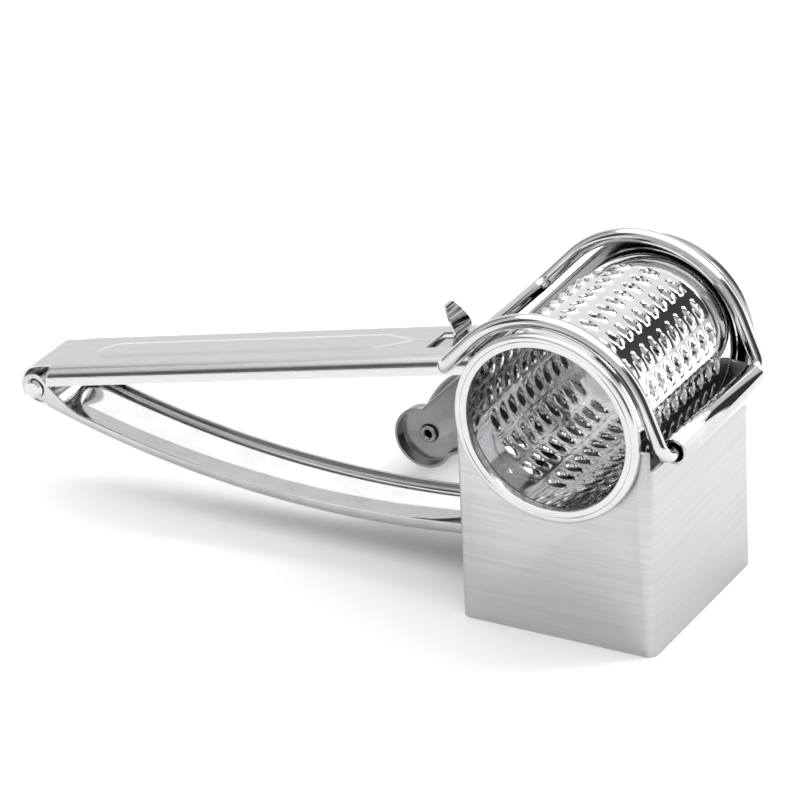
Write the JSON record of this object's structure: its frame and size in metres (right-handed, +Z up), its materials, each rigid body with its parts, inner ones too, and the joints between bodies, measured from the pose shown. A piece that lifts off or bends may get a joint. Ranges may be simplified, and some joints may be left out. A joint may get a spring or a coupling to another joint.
{
  "type": "rotary cheese grater",
  "caption": "Stainless steel hand grater: square hopper, punched drum under a wire bail, hand crank behind, and two hinged arms that press food against the drum.",
  "frame": {"origin": "middle of the hopper's rim under its right-hand wall, in the plane that halves the two arms, at the level the grater stands on", "axes": "+X from the handle's hinge to the hopper, +Y from the open end of the drum to the crank, +Z up as it stands on the hopper's rim"},
  "size_m": [0.2164, 0.0964, 0.0931],
  "materials": {
    "hopper_sheet": "fine horizontal brushing",
    "satin_sheet": "satin",
    "polished_sheet": "bright polish",
    "polished_wire": "mirror polish",
    "knob_plastic": "gloss black"
  },
  "bodies": {
    "hopper": {"hopper_box": "hopper_sheet", "bail_sleeve": "polished_sheet", "fixed_handle": "satin_sheet", "handle_rivet_front": "satin_sheet", "handle_rivet_rear": "satin_sheet", "hinge_bushing": "satin_sheet"},
    "drum": {"drum_barrel": "polished_sheet", "drum_front_ring": "polished_sheet", "drum_rear_cap": "polished_sheet", "hub_spacer": "satin_sheet", "hub_bolt": "satin_sheet", "hub_nut": "satin_sheet", "crank_arm": "satin_sheet", "knob_pin": "satin_sheet", "knob_washer": "satin_sheet"},
    "knob": {"knob": "knob_plastic", "knob_cap": "knob_plastic"},
    "bail": {"wire_bail": "polished_wire"},
    "latch": {"latch_spring": "polished_sheet"},
    "lever": {"lever_arm": "polished_sheet", "hinge_pin": "satin_sheet", "presser_bracket": "satin_sheet", "bracket_rivet_outer": "satin_sheet", "bracket_rivet_inner": "satin_sheet", "presser_plate": "satin_sheet", "presser_rivet_front": "satin_sheet", "presser_rivet_rear": "satin_sheet"}
  },
  "joints": [
    {"name": "drum_spin", "type": "hinge", "parent": "hopper", "child": "drum", "pos_m": [-0.0283, 0, 0.0632], "axis": [0, 1, 0], "continuous": true},
    {"name": "knob_spin", "type": "hinge", "parent": "drum", "child": "knob", "pos_m": [-0.10403, 0.05, 0.01402], "axis": [0, 1, 0], "continuous": true},
    {"name": "lever_fold", "type": "hinge", "parent": "hopper", "child": "lever", "pos_m": [-0.2036, 0, 0.03076], "axis": [0, -1, 0], "range_deg": [-75, 5]},
    {"name": "bail_swing", "type": "hinge", "parent": "hopper", "child": "bail", "pos_m": [0.0032, 0, 0.058], "axis": [0, 1, 0], "range_deg": [0, 170]},
    {"name": "latch_flex", "type": "hinge", "parent": "hopper", "child": "latch", "pos_m": [-0.0787, 0, 0.06424], "axis": [0, -1, 0], "range_deg": [0, 5], "stiffness_Nm_per_rad": 1.2}
  ]
}
